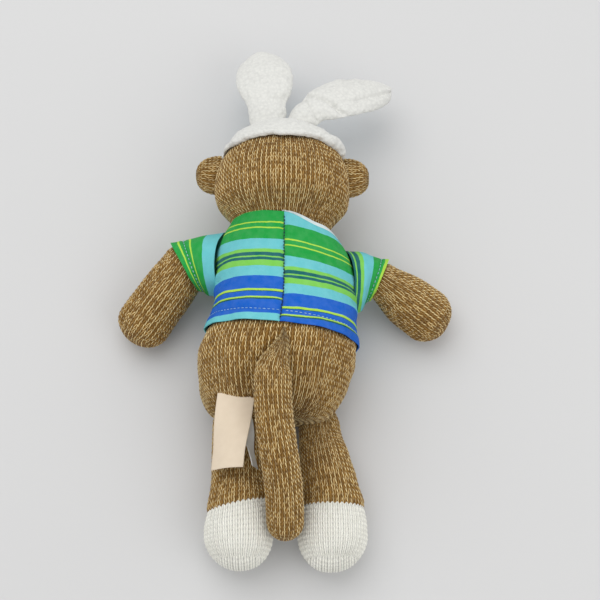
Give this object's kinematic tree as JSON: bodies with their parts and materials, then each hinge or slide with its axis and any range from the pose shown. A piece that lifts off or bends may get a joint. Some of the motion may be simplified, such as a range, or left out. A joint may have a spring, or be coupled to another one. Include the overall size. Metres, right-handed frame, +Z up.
{
  "type": "stuffed toy monkey",
  "caption": "Stuffed knitted monkey lying face down, with a fleece rabbit-ear cap, a striped short-sleeved shirt, jointed soft limbs, a long tail and bare sewn-in labels.",
  "frame": {"origin": "centre of the flat belly patch that the toy rests on", "axes": "+Y towards the head, +Z up out of the toy's back, +X to the toy's right hand as it lies face down"},
  "size_m": [0.1882, 0.2954, 0.078],
  "materials": {
    "brown_knit": "marled stockinette knit",
    "toe_knit": "white stockinette knit",
    "muzzle_knit": "cream stockinette knit",
    "fleece": "napped white fleece",
    "ear_lining": "smooth pale blue lining",
    "shirt_cloth": "printed horizontal stripes",
    "facing": "white neck edge",
    "navy_thread": "dark overlocked thread",
    "brown_thread": "brown sewing thread",
    "mouth_thread": "red embroidery thread",
    "label_satin": "cream satin, bare",
    "label_tape": "white woven tape, bare",
    "eye_plastic": "polished black",
    "washer_plastic": "moulded white",
    "stuffing": "polyester fibre fill"
  },
  "bodies": {
    "torso": {"armhole_thread_left": "brown_thread", "armhole_thread_right": "brown_thread", "shirt_back_left": "shirt_cloth", "shirt_back_right": "shirt_cloth", "shirt_back_seam": "navy_thread", "shirt_front": "shirt_cloth", "shirt_neck_facing": "facing", "torso_skin": "brown_knit", "torso_stuffing": "stuffing"},
    "head": {"ear_left": "brown_knit", "ear_right": "brown_knit", "eye_left": "eye_plastic", "eye_right": "eye_plastic", "eye_washer_left": "washer_plastic", "eye_washer_right": "washer_plastic", "fleece_cap": "fleece", "head_skin": "brown_knit", "head_stuffing": "stuffing", "mouth_stitching": "mouth_thread", "muzzle_skin": "muzzle_knit", "muzzle_stuffing": "stuffing", "neck_thread": "brown_thread", "nostril_stitch_left": "brown_thread", "nostril_stitch_right": "brown_thread"},
    "arm_left": {"arm_left_skin": "brown_knit", "arm_left_stuffing": "stuffing", "sleeve_left": "shirt_cloth"},
    "arm_right": {"arm_right_skin": "brown_knit", "arm_right_stuffing": "stuffing", "sleeve_right": "shirt_cloth"},
    "leg_left": {"foot_left_cap": "toe_knit", "hip_thread_left": "brown_thread", "leg_left_skin": "brown_knit", "leg_left_stuffing": "stuffing"},
    "leg_right": {"foot_right_cap": "toe_knit", "hip_thread_right": "brown_thread", "leg_right_skin": "brown_knit", "leg_right_stuffing": "stuffing"},
    "tail": {"tail_skin": "brown_knit", "tail_stuffing": "stuffing", "tail_thread": "brown_thread"},
    "bunny_ear_left": {"bunny_ear_left": "fleece", "bunny_ear_lining_left": "ear_lining"},
    "bunny_ear_right": {"bunny_ear_lining_right": "ear_lining", "bunny_ear_right": "fleece"},
    "tags": {"care_label": "label_tape", "label": "label_satin"}
  },
  "joints": [
    {"name": "head_turn", "type": "hinge", "parent": "torso", "child": "head", "pos_m": [0, 0.0439, 0.042], "axis": [0, 1, 0], "range_deg": [-20, 20]},
    {"name": "arm_left_swing", "type": "hinge", "parent": "torso", "child": "arm_left", "pos_m": [-0.055, 0.031, 0.025], "axis": [0, 0, -1], "range_deg": [-10, 75]},
    {"name": "arm_right_swing", "type": "hinge", "parent": "torso", "child": "arm_right", "pos_m": [0.055, 0.021, 0.0255], "axis": [0, 0, 1], "range_deg": [-30, 60]},
    {"name": "leg_left_spread", "type": "hinge", "parent": "torso", "child": "leg_left", "pos_m": [-0.0255, -0.058, 0.0196], "axis": [0, 0, -1], "range_deg": [0, 32]},
    {"name": "leg_right_spread", "type": "hinge", "parent": "torso", "child": "leg_right", "pos_m": [0.0255, -0.058, 0.0196], "axis": [0, 0, 1], "range_deg": [0, 32]},
    {"name": "tail_lift", "type": "hinge", "parent": "torso", "child": "tail", "pos_m": [0, -0.019, 0.0714], "axis": [-1, 0, 0], "range_deg": [0, 65]},
    {"name": "bunny_ear_left_lift", "type": "hinge", "parent": "head", "child": "bunny_ear_left", "pos_m": [-0.0095, 0.1104, 0.046], "axis": [1, 0, 0], "range_deg": [0, 45]},
    {"name": "bunny_ear_right_lift", "type": "hinge", "parent": "head", "child": "bunny_ear_right", "pos_m": [0.0095, 0.1102, 0.046], "axis": [0.361, -0.9326, 0], "range_deg": [0, 40]},
    {"name": "tags_lift", "type": "hinge", "parent": "torso", "child": "tags", "pos_m": [-0.025, -0.0505, 0.045], "axis": [-1, 0, 0], "range_deg": [0, 80]}
  ]
}
